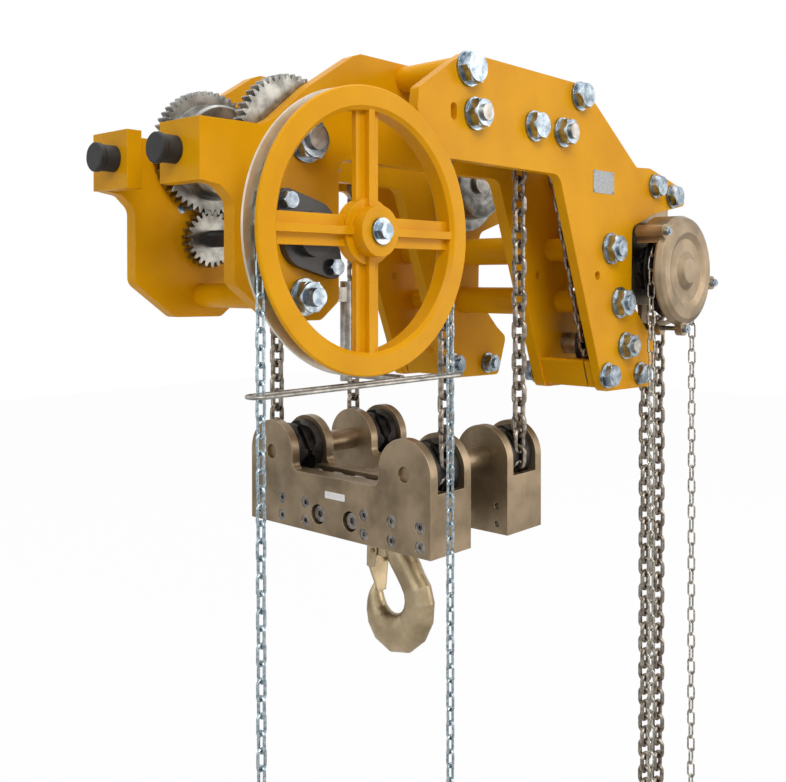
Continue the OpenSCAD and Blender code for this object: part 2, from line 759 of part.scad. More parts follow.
module geared_wheel(side) {
    color(zinc)
        union() {
            wheel_body(-wheel_x, side, [[gear_r - 16, wheel_out - gear_w], [gear_r - 16, wheel_out],
                [bearing_od / 2, wheel_out]]);
            translate([-wheel_x, side > 0 ? wheel_out : -wheel_out + gear_w, axle_z])
                rotate([90, 0, 0])
                    linear_extrude(gear_w)
                        difference() {
                            polygon(gear_outline(module_m, wheel_teeth, backlash));
                            circle(r = gear_r - 20);
                        }
        }
}
module geared_wheel_near() geared_wheel(-1);
module geared_wheel_far() geared_wheel(1);

module plain_wheel(side) {
    color(zinc)
        wheel_body(wheel_x, side, [[tread_r + 3, wheel_out - gear_w], [gear_r - 4, wheel_out - gear_w + 3],
            [gear_r, wheel_out - gear_w + 7], [gear_r, wheel_out - 3], [gear_r - 3, wheel_out],
            [bearing_od / 2, wheel_out]]);
}
module plain_wheel_near() plain_wheel(-1);
module plain_wheel_far() plain_wheel(1);

// sealed bearings, pressed on the axles; the wheels turn round them
module wheel_bearings() {
    color(steel)
        for (side = [-1, 1], k = [-1, 1])
            ring_y(k * wheel_x, axle_z, bearing_od / 2 - run_c, axle_d / 2 + 0.02, side * (wheel_in + 6),
                side * (wheel_out - 1));
}

// Drive

hub_front = wheel_plane + 33;
shaft_end = inner_out + 40;
pinion_bore = shaft_d / 2;

module drive_shaft() {
    color(black)
        bar_y(shaft_x, shaft_z, shaft_d / 2, -hub_front + 6, shaft_end);
}

module pinion(side) {
    color(steel)
        difference() {
            translate([shaft_x, side > 0 ? wheel_out : -wheel_out + gear_w, shaft_z])
                rotate([90, 0, 0])
                    linear_extrude(gear_w)
                        rotate([0, 0, 90 + mesh_turn])
                            polygon(gear_outline(module_m, pinion_teeth, backlash));
            bar_y(shaft_x, shaft_z, pinion_bore, side * (wheel_out + 1), side * (wheel_out - gear_w - 1));
        }
}
// the pinion's turn that sets a tooth space under the wheel's lowest tooth
lowest_tooth = round(270 / (360 / wheel_teeth)) * 360 / wheel_teeth - 270;
mesh_turn = 180 / pinion_teeth - lowest_tooth * wheel_teeth / pinion_teeth;
module pinion_near() pinion(-1);
module pinion_far() pinion(1);

rim_in = 180;
hub_r = 38;
hub_back = wheel_plane - 24;

module trolley_hand_wheel() {
    half = rim_w / 2;
    floor_r = hand_r * cos(asin((hand_p + hand_d) / 2 / hand_r)) - hand_d / 2 - seat_c;
    slot_r = hand_r - hand_w / 2 - 1.5;
    groove = hand_w / 2 + 0.9;
    color(yellow)
        difference() {
            union() {
                turned_y(shaft_x, shaft_z, [
                    [rim_in, wheel_plane - half + 6], [rim_in + 6, wheel_plane - half], [rim_r - 2, wheel_plane - half],
                    [rim_r, wheel_plane - half + 2], [rim_r, wheel_plane - groove - 3],
                    [floor_r + 8, wheel_plane - groove],
                    [floor_r, wheel_plane - groove], [floor_r, wheel_plane - hand_d / 2 - 1.2],
                    [slot_r, wheel_plane - hand_d / 2 - 1.2], [slot_r, wheel_plane + hand_d / 2 + 1.2],
                    [floor_r, wheel_plane + hand_d / 2 + 1.2], [floor_r, wheel_plane + groove],
                    [floor_r + 8, wheel_plane + groove], [rim_r, wheel_plane + groove + 3],
                    [rim_r, wheel_plane + half - 2], [rim_r - 2, wheel_plane + half], [rim_in + 6, wheel_plane + half],
                    [rim_in, wheel_plane + half - 6]
                ], -1);
                bar_y(shaft_x, shaft_z, hub_r, -hub_front, -hub_back);
                bar_y(shaft_x, shaft_z, hub_r + 12, -wheel_plane - web_t / 2 - 6, -wheel_plane + web_t / 2 + 6);
                translate([shaft_x, -wheel_plane, shaft_z])
                    rotate([90, 0, 0])
                        for (i = [0 : 3])
                            rotate([0, 0, 90 * i])
                                translate([rim_in + 2, 0, 0])
                                    rotate([0, -90, 0])
                                        linear_extrude(rim_in + 2 - hub_r + 4)
                                            square([web_t, spoke_w], center = true);
                translate([shaft_x, -wheel_plane, shaft_z])
                    rotate([90, 0, 0])
                        for (i = [0 : 3])
                            rotate([0, 0, 90 * i])
                                translate([hub_r - 4, -6, -half + 4])
                                    cube([rim_in + 6 - hub_r, 12, rim_w - 8]);
                translate([shaft_x, -wheel_plane, shaft_z])
                    rotate([90, 0, 0])
                        rotate([0, 0, 180 - asin((hand_p + hand_d) / 2 / hand_r)])
                            lugs(hand_r, hand_p, hand_d, hand_w, hand_n);
            }
            bar_y(shaft_x, shaft_z, shaft_d / 2, -hub_front - 1, -hub_back + 1);
        }
}

module hub_screw() {
    color(zinc) {
        bar_y(shaft_x, shaft_z, 20, -hub_front, -hub_front - 5);
        hex_y(shaft_x, shaft_z, 24, -hub_front - 5, -hub_front - 15);
    }
}

module shaft_bearings() {
    color(black)
        for (side = [-1, 1])
            difference() {
                union() {
                    translate([shaft_x, side > 0 ? inner_out + 14 : -inner_out, shaft_z])
                        rotate([90, 0, 0])
                            linear_extrude(14)
                                rotate([0, 0, -bearing_turn])
                                    polygon(rounded([[bearing_reach + 36, 0, 19], [0, 66, 46],
                                        [-bearing_reach - 36, 0, 19], [0, -66, 46]]));
                    bar_y(shaft_x, shaft_z, 36, side * inner_out, side * (inner_out + 30));
                }
                bar_y(shaft_x, shaft_z, shaft_d / 2 + run_c, side * (inner_out - 1), side * (inner_out + 40));
                holes(bearing_bolts, bolt_c0, side * inner_out, side * (inner_out + 20));
            }
}

guide_x = lobe_x + 28;
guide_z = -297;
guide_rod = 6;
guide_half = 15;
post_y = (inner_in + inner_out) / 2;
post_top = -142;

// the post beside the drive lobe, with its foot on the lobe's edge and an arm out to the loop
module guide_post() {
    color("#b5b3ae") {
        translate([guide_x, -post_y, guide_z - 12])
            cylinder(r = 10, h = post_top - guide_z + 12);
        translate([guide_x, -post_y + 1, guide_z])
            rotate([90, 0, 0])
                cylinder(r = 6, h = wheel_plane - guide_half - guide_rod / 2 - post_y + 1);
        translate([lobe_x, -post_y - 8, post_top - 34])
            cube([guide_x - lobe_x, 16, 24]);
    }
}

// the rod bent round both strands of the hand chain
module guide_loop() {
    color("#b5b3ae")
        translate([shaft_x, -wheel_plane, guide_z])
            rotate([90, 0, 0])
                rotate([0, 90, 0])
                    link(2 * (hand_r + 4) + 2 * guide_half - guide_rod - seat_c, guide_rod + seat_c,
                        2 * guide_half + guide_rod + seat_c);
}

module hand_links(lo, hi) {
    color("#c2c8ca")
        chain([for (k = hand_links) if (k[2] >= lo && k[2] < hi) k], ey, hand_p, hand_d, hand_w);
}
hand_half = len(hand_links) / 2;
module trolley_chain_right() hand_links(0, hand_half);
module trolley_chain_left() hand_links(hand_half, 2 * hand_half);

// Load chain and its wheels

chain_body = load_w + 16;
chain_half = chain_body / 2;
rim_over = 4;

module top_wheel(c, n) {
    color("#4a4644")
        translate(c)
            rotate([90, 0, 0])
                rotate([0, 0, seat_angle(n)])
                    pocket_wheel(load_r, load_p, load_d, load_w, load_n, chain_body, rim_over, pin_d / 2 + run_c);
}
module top_chain_wheel() top_wheel(wheel_d, 13);
module idler_chain_wheel() top_wheel(wheel_j, 15);
module far_chain_wheel_front() top_wheel([-far_x, chain_y, top_z], 5);
module far_chain_wheel_rear() top_wheel([far_x, chain_y, top_z], 7);

// the fork that holds the end of the first fall, and the pin that holds the end of the slack loop
slack_pin_z = load_last[1][2] + load_d / 2 + seat_c / 2 - anchor_pin_r;
module chain_anchor() {
    z = anchor_pin[1];
    color(steel) {
        difference() {
            union() {
                bar_y(-fall_x, z, 25, -inner_out, -outer_in);
                translate([-fall_x - 14, -chain_y - 22, anchor_pin_z])
                    cube([28, 44, z - anchor_pin_z]);
                bar_y(-fall_x, anchor_pin_z, 12, -chain_y - 22, -chain_y + 22);
                translate([-fall_x - 12, -chain_y - 22, anchor_pin_z])
                    cube([24, 44, 20]);
            }
            bar_y(-fall_x, z, pin_d / 2 + bolt_c0, -outer_in - 1, -inner_out + 1);
            translate([-fall_x - 30, -chain_y - load_d / 2 - 1, anchor_pin_z - 30])
                cube([60, load_d + 2, 56]);
            bar_y(-fall_x, anchor_pin_z, anchor_pin_r + bolt_c0, -chain_y - 30, -chain_y + 30);
        }
        bar_y(-fall_x, anchor_pin_z, anchor_pin_r, -chain_y - 24, -chain_y + 24);
        bar_y(slack_x + slack_gap, slack_pin_z, anchor_pin_r, -plate_far - side_t - 3, -plate_near + side_t + 3);
    }
}

module load_part(lo, hi, w, odd = 0) {
    color(dark_chain)
        chain(between(load_links, lo, hi), w, load_p, load_d, load_w, odd);
}
module load_chain_falls() {
    load_part(0, mark[0], ex);
    load_part(mark[1], mark[2], ex);
    load_part(mark[3], mark[4], ex);
    load_part(mark[5], mark[6], ex);
}
module load_chain_block() {
    load_part(mark[0], mark[1], ex);
    load_part(mark[4], mark[5], ex);
}
module load_chain_over() {
    load_part(mark[2], mark[3], ey, 1);
}
module load_chain_lead() {
    load_part(mark[6], mark[7], ey, 1);
}
module load_chain_slack() {
    load_part(mark[7], 1e6, ey, 1);
}

// Hoist

side_t = 12;
plate_far = chain_y + chain_half + 1;
plate_near = chain_y - chain_half - 1;
hoist_shaft_d = 28;
case_r = 84;
stud_r = 124;
stud_d = 10;
stud_at = [for (a = [139, -12, -95]) [hoist_x + stud_r * cos(a), hoist_z + stud_r * sin(a)]];
cover_front = hoist_wheel_plane + 38;
hang_bolts = [bolt_f, bolt_g];
hang_r = bolt_f[2] / 2 + spacer_t;

hoist_outline = rounded([
    [482, 98, 24], [626, 78, 26], [624, -10, 20], [672, -52, 16], [672, slack_pin_z - 18, 18],
    [612, hoist_z - 74, 40], [456, hoist_z - 74, 40], [448, -60, 30]
]);

// the two plates that hang from the arm bolts and carry the hoist, with the collars that centre them
module hoist_side_plates() {
    color(bronze) {
        difference() {
            union() {
                plate(-plate_far, -plate_far - side_t, hoist_outline);
                for (p = stud_at) {
                    a = atan2(p[1] - hoist_z, p[0] - hoist_x);
                    bar_y(p[0], p[1], 13, -plate_far, -plate_far - side_t);
                    translate([hoist_x, -plate_far, hoist_z])
                        rotate([90, -a, 0])
                            translate([20, -11, 1])
                                cube([stud_r - 20, 22, side_t - 2]);
                }
                for (b = hang_bolts)
                    bar_y(b[0], b[1], hang_r + 6, -plate_far, -outer_in);
            }
            hoist_holes(-plate_far - 40, -plate_far + 1);
        }
        difference() {
            union() {
                plate(-plate_near, -plate_near + side_t, hoist_outline);
                for (b = hang_bolts)
                    bar_y(b[0], b[1], hang_r + 6, -plate_near, -inner_out);
            }
            hoist_holes(-plate_near - 1, -inner_out + 1);
        }
    }
}
module hoist_holes(y0, y1) {
    for (b = hang_bolts)
        bar_y(b[0], b[1], hang_r + seat_c, y0, y1);
    bar_y(hoist_x, hoist_z, hoist_shaft_d / 2 + run_c, y0, y1);
    bar_y(slack_x + slack_gap, slack_pin_z, anchor_pin_r + bolt_c0, y0, y1);
    for (p = stud_at)
        bar_y(p[0], p[1], stud_d / 2 + bolt_c0, y0, y1);
}

// the closed case of the reduction gear, on the side towards the beam
module hoist_gear_case() {
    y0 = plate_near - side_t;
    color(bronze)
        difference() {
            turned_y(hoist_x, hoist_z, [
                [0, 118], [44, 118], [50, 124], [50, 130], [case_r - 8, 134], [case_r, 142], [case_r, y0 - 14],
                [case_r + 6, y0 - 14], [case_r + 6, y0], [0, y0]
            ], -1);
            bar_y(hoist_x, hoist_z, hoist_shaft_d / 2 + run_c, -140, -y0 - 1);
            ring_y(hoist_x, hoist_z, case_r - 14, 30, -144, -y0 + 10);
        }
}

module load_sheave() {
    color("#4a4644")
        translate(wheel_h)
            rotate([90, 0, 0])
                rotate([0, 0, seat_angle(17)])
                    pocket_wheel(load_r, load_p, load_d, load_w, load_n, chain_body, rim_over,
                        hoist_shaft_d / 2 + run_c);
}

module hoist_shaft() {
    color(steel)
        bar_y(hoist_x, hoist_z, hoist_shaft_d / 2, -142, -hoist_wheel_plane - 20);
}

// the load brake between the outer plate and the hand wheel: hub, friction discs and ratchet wheel
module brake_discs() {
    y0 = plate_far + side_t + 1;
    bore = hoist_shaft_d / 2;
    color("#55504a") {
        ring_y(hoist_x, hoist_z, 52, bore, -y0, -y0 - 6);
        ring_y(hoist_x, hoist_z, 46, bore, -y0 - 6, -y0 - 10);
        difference() {
            ring_y(hoist_x, hoist_z, 60, bore, -y0 - 10, -y0 - 17);
            for (i = [0 : 11])
                translate([hoist_x, -y0 - 9, hoist_z])
                    rotate([90, 30 * i, 0])
                        translate([52, 0, 0])
                            rotate([0, 0, 20])
                                cube([20, 9, 9]);
        }
        ring_y(hoist_x, hoist_z, 46, bore, -y0 - 17, -y0 - 21);
        ring_y(hoist_x, hoist_z, 40, bore, -y0 - 21, -hoist_wheel_plane + 16);
    }
}

module hoist_hand_wheel() {
    half = 15;
    h = hoist_wheel_plane;
    floor_r = pull_r * cos(asin((pull_p + pull_d) / 2 / pull_r)) - pull_d / 2 - seat_c;
    slot_r = pull_r - pull_w / 2 - 1.5;
    groove = pull_w / 2 + 0.9;
    slot = pull_d / 2 + 1.2;
    color("#8d867a")
        difference() {
            union() {
                turned_y(hoist_x, hoist_z, [
                    [0, h - half], [30, h - half], [34, h - 5], [70, h - 5], [72, h - half], [pull_r + 6, h - half],
                    [pull_r + 8, h - groove - 2], [floor_r + 3, h - groove], [floor_r, h - groove], [floor_r, h - slot],
                    [slot_r, h - slot], [slot_r, h + slot], [floor_r, h + slot], [floor_r, h + groove],
                    [floor_r + 3, h + groove], [pull_r + 8, h + groove + 2], [pull_r + 6, h + half], [72, h + half],
                    [70, h + 5], [34, h + 5], [30, h + half], [0, h + half]
                ], -1);
                translate([hoist_x, -h, hoist_z])
                    rotate([90, 0, 0])
                        rotate([0, 0, 180 - asin((pull_p + pull_d) / 2 / pull_r)])
                            lugs(pull_r, pull_p, pull_d, pull_w, pull_n);
            }
            bar_y(hoist_x, hoist_z, hoist_shaft_d / 2, -h - 20, -h + 20);
        }
}

// the cast cover of the hand wheel: open on the left and underneath, where the chain hangs out
module hand_wheel_cover() {
    h = hoist_wheel_plane;
    back = cover_front - cover_w;
    color(bronze)
        difference() {
            union() {
                turned_y(hoist_x, hoist_z, [
                    [0, cover_front - 7], [30, cover_front - 7], [38, cover_front - 12], [62, cover_front - 12],
                    [76, cover_front - 6], [cover_r - 20, cover_front - 6], [cover_r - 10, cover_front - 10],
                    [cover_r - 6, cover_front - 20], [cover_r - 6, back], [cover_r, back], [cover_r, cover_front - 16],
                    [cover_r - 5, cover_front - 5], [cover_r - 16, cover_front], [82, cover_front],
                    [68, cover_front - 6], [42, cover_front - 6], [32, cover_front], [26, cover_front + 4],
                    [0, cover_front + 4]
                ], -1);
                for (p = stud_at) {
                    a = atan2(p[1] - hoist_z, p[0] - hoist_x);
                    bar_y(p[0], p[1], 15, -back, -cover_front + 4);
                    translate([hoist_x, -cover_front + 4, hoist_z])
                        rotate([90, -a, 0])
                            translate([cover_r - 16, -13, back - cover_front + 6])
                                cube([stud_r - cover_r + 16, 26, cover_front - 8 - back]);
                }
                translate([hoist_x - 62, -back - 8, hoist_z + 84])
                    cube([110, back + 6 - outer_in, 18]);
            }
            bar_y(hoist_x, hoist_z, cover_r - 10, -back + 1, -back - 12);
            bar_y(hoist_x, hoist_z, pull_r + 13, -h - 18, -back + 60);
            translate([hoist_x - 160, -h - 18, hoist_z - 160])
                cube([100, 140, 160 + 58]);
            translate([hoist_x - 100, -h - 18, hoist_z - 160])
                cube([212, 36, 140]);
            for (p = stud_at)
                bar_y(p[0], p[1], stud_d / 2 + bolt_c0, -cover_front - 9, -back + 60);
        }
}

module cover_studs() {
    color(zinc)
        for (p = stud_at) {
            bar_y(p[0], p[1], stud_d / 2, -plate_far, -cover_front - 8);
            bar_y(p[0], p[1], stud_d / 2 + 4, -plate_far - side_t, cover_w - cover_front);
            hex_y(p[0], p[1], 17, -cover_front + 4, -cover_front - 5);
        }
}

module pull_chain() {
    color("#b9b6ae")
        chain(pull_links, ey, pull_p, pull_d, pull_w);
}

// Hook block

block_end = block_y + lobe_r;
cage_low = block_z - cage_h;
bar_top = block_z - bar_drop;
cage_half = cage_w / 2;
room_half = cage_half - cage_wall;
screw_y = [79, 147, 215];
screw_z = [cage_low + 18, cage_low + 52];
cross_bolt_y = 43;
cross_bolt_z = cage_low + 35;
cross_bolt_d = 20;
cage_front = fall_x + cage_half;
cage_back = fall_x - cage_half;

// half of a cage, between its wall and the middle of the chain; toward is the side its wall is on
module cage_half_solid(cx, toward, faced) {
    wall_x = toward > 0 ? cx + room_half : cx - cage_half;
    deep_x = toward > 0 ? cx : cx - cage_half;
    color(bronze)
        difference() {
            union() {
                for (k = [-1, 1]) {
                    bar_x(k * block_y, block_z, lobe_r, wall_x, wall_x + cage_wall);
                    translate([wall_x, k * block_y - lobe_r, bar_top - 1])
                        cube([cage_wall, 2 * lobe_r, block_z - bar_top + 1]);
                    translate([wall_x, k > 0 ? block_y - lobe_r - 14 : -block_y + lobe_r, bar_top - 1])
                        cube([cage_wall, 14, 15]);
                }
                translate([deep_x, -block_end, cage_low])
                    cube([cage_half, 2 * block_end, cage_h - bar_drop]);
            }
            for (k = [-1, 1]) {
                bar_x(k * (block_y - lobe_r - 14), bar_top + 14, 14, wall_x - 1, wall_x + cage_wall + 1);
                bar_x(k * block_y, block_z, load_r + rim_over + 3, cx - room_half, cx + room_half);
                bar_x(k * block_y, block_z, block_axle_d / 2 + bolt_c0, cx - cage_half - 1, cx + cage_half + 1);
                chain_ring(cx, k, load_w / 2 + 1.5, load_d / 2 + 1.5);
                chain_ring(cx, k, load_d / 2 + 1.5, load_w / 2 + 1.5);
            }
            translate([cx - load_w / 2 - 1.5, -block_y, block_z - load_r - load_d / 2 - 1.5])
                cube([load_w + 3, 2 * block_y, cage_h]);
            translate([cx - load_d / 2 - 1.5, -block_y, block_z - load_r - load_w / 2 - 1.5])
                cube([load_d + 3, 2 * block_y, cage_h]);
            for (y = screw_y, k = [-1, 1], z = screw_z)
                bar_x(k * y, z, 6, cx - cage_half - 1, cx + cage_half + 1);
            if (faced)
                for (y = screw_y, k = [-1, 1], z = screw_z)
                    bar_x(k * y, z, 11 + seat_c, toward > 0 ? cx + cage_half - 8 : cx - cage_half - 1,
                        toward > 0 ? cx + cage_half + 1 : cx - cage_half + 8);
            for (k = [-1, 1]) {
                bar_x(k * cross_bolt_y, cross_bolt_z, cross_bolt_d / 2 + bolt_c0,
                    cx - cage_half - 1, cx + cage_half + 1);
                if (faced)
                    bar_x(k * cross_bolt_y, cross_bolt_z, 19, toward > 0 ? cx + cage_half - 20 : cx - cage_half - 1,
                        toward > 0 ? cx + cage_half + 1 : cx - cage_half + 20);
            }
        }
}
// a ring-shaped passage for the chain round a block wheel
module chain_ring(cx, k, half_x, half_r) {
    translate([cx - half_x, k * block_y, block_z])
        rotate([0, 90, 0])
            difference() {
                cylinder(r = load_r + half_r, h = 2 * half_x);
                translate([0, 0, -1])
                    cylinder(r = load_r - half_r, h = 2 * half_x + 2);
            }
}
module cage_outer_halves() {
    cage_half_solid(-fall_x, -1, true);
    cage_half_solid(fall_x, 1, true);
}
module cage_inner_halves() {
    cage_half_solid(-fall_x, 1, false);
    cage_half_solid(fall_x, -1, false);
}

// socket screws that close each cage, and the two long bolts that clamp the cages to the cross head
module cage_screws() {
    color("#8d8a84")
        for (side = [-1, 1]) {
            for (y = screw_y, k = [-1, 1], z = screw_z)
                difference() {
                    union() {
                        bar_x(k * y, z, 11, side * (cage_front - 1), side * (cage_front - 8));
                        bar_x(k * y, z, 5.8, side * (cage_front - 8), side * (cage_back + 4));
                    }
                    translate([side * cage_front, k * y, z])
                        rotate([0, -90 * side, 0])
                            cylinder(r = 5, h = 6, $fn = 6);
                }
        }
    color("#8d8a84")
        for (k = [-1, 1]) {
            bar_x(k * cross_bolt_y, cross_bolt_z, cross_bolt_d / 2, -cage_front + 20, cage_front - 20);
            for (side = [-1, 1])
                translate([side * (cage_front - 20), k * cross_bolt_y, cross_bolt_z])
                    rotate([0, 90 * side, 0])
                        difference() {
                            cylinder(r = 15, h = 14);
                            translate([0, 0, 8])
                                cylinder(r = 7, h = 8, $fn = 6);
                        }
        }
}

module block_axles() {
    color(bronze)
        for (k = [-1, 1])
            union() {
                bar_x(k * block_y, block_z, block_axle_d / 2, -cage_front + 7, cage_front - 7);
                bar_x(k * block_y, block_z, 22, -cage_back, cage_back);
            }
}

module block_wheel(cx, k, n) {
    color("#3c3a39")
        translate([cx, k * block_y, block_z])
            rotate([90, 0, 90])
                rotate([0, 0, seat_angle(n, true)])
                    pocket_wheel(load_r, load_p, load_d, load_w, load_n, 2 * room_half - 2, rim_over,
                        block_axle_d / 2 + run_c);
}
module block_wheel_near_front() block_wheel(-fall_x, -1, 1);
module block_wheel_far_front() block_wheel(-fall_x, 1, 3);
module block_wheel_near_rear() block_wheel(fall_x, -1, 11);
module block_wheel_far_rear() block_wheel(fall_x, 1, 9);

cross_half_y = 70;
cross_top = cage_low + 64;
hook_flange = 6;

module cross_head() {
    color(bronze)
        difference() {
            translate([-cage_back, -cross_half_y, cage_low + hook_flange])
                cube([2 * cage_back, 2 * cross_half_y, cross_top - cage_low - hook_flange]);
            translate([0, 0, cage_low - 1])
                cylinder(r = shank_d / 2 + run_c, h = 80);
            for (k = [-1, 1])
                bar_x(k * cross_bolt_y, cross_bolt_z, cross_bolt_d / 2 + bolt_c0, -cage_back - 1, cage_back + 1);
        }
}

// Hook

bowl_z = cage_low - bowl_drop;
// sections round the bowl: angle from the back, share of the full depth, share of the full width,
// and how far the inside stands out from the bowl's radius towards the tip
bowl_sections = [
    [-38, 0.74, 1, 0], [-20, 0.8, 1, 0], [0, 0.85, 1, 0], [22, 0.9, 1, 0], [45, 0.95, 1, 0],
    [68, 1, 1, 0], [90, 1, 1, 0], [110, 0.9, 0.98, 0], [128, 0.74, 0.92, 0], [145, 0.57, 0.84, 0],
    [160, 0.44, 0.76, 0], [174, 0.34, 0.66, 0.02], [186, 0.25, 0.54, 0.07], [196, 0.16, 0.38, 0.17],
    [203, 0.07, 0.2, 0.27]
];
function bowl_mid(k) = let (r = bowl_r * (1 + k[3]) + k[1] * bowl_t / 2)
    [-r * cos(k[0]), bowl_z - r * sin(k[0])];
hook_mids = concat([[0, cage_low - 2], [-1, cage_low - 20], [-7, cage_low - 42], [-22, cage_low - 68],
    [-38, cage_low - 88]], [for (k = bowl_sections) bowl_mid(k)]);
hook_sizes = concat([[shank_d / 2 + 3, shank_d / 2 + 3], [26, 26], [28, 25], [30, 25], [29.5, 24.5]],
    [for (k = bowl_sections) [k[1] * bowl_t / 2, k[2] * hook_t / 2]]);
function way(i) = let (a = hook_mids[max(0, i - 1)], b = hook_mids[min(len(hook_mids) - 1, i + 1)])
    (b - a) / norm(b - a);
function hook_ring(i, n) = let (m = hook_mids[i], z = hook_sizes[i], t = i == 0 ? [0, -1] : way(i))
    [for (j = [0 : n - 1]) let (c = cos(360 * j / n), f = sin(360 * j / n))
        [z[1] * c, m[0] - t[1] * z[0] * f, m[1] + t[0] * z[0] * f]];

// a closed skin over rings that all have the same number of points
module skin(rings) {
    n = len(rings[0]);
    last = (len(rings) - 1) * n;
    polyhedron(
        points = [for (r = rings) each r],
        faces = concat(
            [[for (j = [0 : n - 1]) n - 1 - j]],
            [[for (j = [0 : n - 1]) last + j]],
            [for (i = [0 : len(rings) - 2], j = [0 : n - 1], h = [0, 1])
                let (a = i * n + j, b = i * n + (j + 1) % n)
                h == 0 ? [a, b, a + n] : [b, b + n, a + n]]
        ),
        convexity = 6
    );
}

latch_y = 30;
latch_z = cage_low - 58;
latch_pin_r = 4;
latch_in = 26;
latch_t = 3;

module hook() {
    color(bronze)
        rotate([0, 0, hook_turn])
            difference() {
                union() {
                    skin([for (i = [0 : len(hook_mids) - 1]) hook_ring(i, 32)]);
                    translate([0, 0, cage_low - 10])
                        cylinder(r = shank_d / 2 + 5, h = 10 + hook_flange - seat_c);
                    translate([0, 0, cage_low - 10])
                        cylinder(r = shank_d / 2, h = cross_top - cage_low + 10 + 46);
                    bar_x(latch_y, latch_z, 9, -latch_in + 1, latch_in - 1);
                    translate([1 - latch_in, 0, latch_z - 9])
                        cube([2 * latch_in - 2, latch_y, 18]);
                }
                bar_x(latch_y, latch_z, latch_pin_r + 0.02, -latch_in, latch_in);
            }
}

// the nut that holds the shank on the cross head, and the pin of the latch
module hook_fittings() {
    color(bronze)
        rotate([0, 0, hook_turn])
            difference() {
                union() {
                    translate([0, 0, cross_top + seat_c])
                        cylinder(r = shank_d / 2 + 17, h = 14);
                    translate([0, 0, cross_top + 14])
                        cylinder(r = shank_d / 2 + 14, h = 28, $fn = 6);
                }
                translate([0, 0, cross_top - 1])
                    cylinder(r = shank_d / 2 + 0.02, h = 60);
            }
    color(steel)
        rotate([0, 0, hook_turn])
            bar_x(latch_y, latch_z, latch_pin_r, -latch_in - latch_t - 3, latch_in + latch_t + 3);
}

// the spring latch: cheeks on both sides of the neck, folded from a tongue whose end rests inside the tip
module safety_latch() {
    out = latch_in + latch_t;
    tip_y = bowl_r - 0.5;
    tip_z = bowl_z + 2;
    fold_z = latch_z - 34;
    color(bronze)
        rotate([0, 0, hook_turn])
            difference() {
                union() {
                    for (x = [-out, latch_in])
                        translate([x, 0, 0])
                            rotate([90, 0, 90])
                                linear_extrude(latch_t)
                                    polygon(rounded([[latch_y - 11, latch_z + 10, 9], [latch_y + 16, latch_z + 10, 6],
                                        [latch_y + 17, fold_z, 3], [latch_y - 4, fold_z, 8]]));
                    intersection() {
                        translate([-out, 0, 0])
                            rotate([90, 0, 90])
                                linear_extrude(2 * out)
                                    polygon([[latch_y + 13, latch_z + 7], [latch_y + 16, latch_z + 7],
                                        [latch_y + 17, fold_z + 14], [tip_y, tip_z], [tip_y - latch_t, tip_z],
                                        [latch_y + 13, fold_z + 14]]);
                        translate([0, latch_y + 40, 0])
                            rotate([90, 0, 0])
                                linear_extrude(80)
                                    polygon([[-out, latch_z + 20], [-out, fold_z + 8], [-11, tip_z - 1],
                                        [11, tip_z - 1], [out, fold_z + 8], [out, latch_z + 20]]);
                    }
                }
                bar_x(latch_y, latch_z, latch_pin_r + run_c, -out - 1, out + 1);
            }
}

inner_plate_near();
inner_plate_far();
outer_plate_near();
outer_plate_far();
pocket_spacers();
cross_tubes();
pocket_bolts();
frame_nuts();
cross_rods();
rubber_buffers();
frame_screws();
wheel_axles();
wheel_bearings();
geared_wheel_near();
geared_wheel_far();
plain_wheel_near();
plain_wheel_far();
drive_shaft();
pinion_near();
pinion_far();
trolley_hand_wheel();
hub_screw();
shaft_bearings();
guide_post();
guide_loop();
trolley_chain_left();
trolley_chain_right();
top_chain_wheel();
far_chain_wheel_front();
far_chain_wheel_rear();
idler_chain_wheel();
chain_axles();
chain_anchor();
load_chain_falls();
load_chain_block();
load_chain_lead();
load_chain_over();
load_chain_slack();
hoist_side_plates();
hoist_gear_case();
load_sheave();
hoist_shaft();
hoist_hand_wheel();
brake_discs();
hand_wheel_cover();
cover_studs();
pull_chain();
cage_outer_halves();
cage_inner_halves();
cage_screws();
block_axles();
cross_head();
block_wheel_near_front();
block_wheel_far_front();
block_wheel_near_rear();
block_wheel_far_rear();
hook();
hook_fittings();
safety_latch();
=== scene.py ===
# A low headroom trolley hoist, dressed for its portrait. The imported solids keep their places and get
# their real finishes. A copy of the load chain's falls, and the thin blank plate and label, are made here.
import math

import bmesh
import bpy
from mathutils import Matrix, Vector


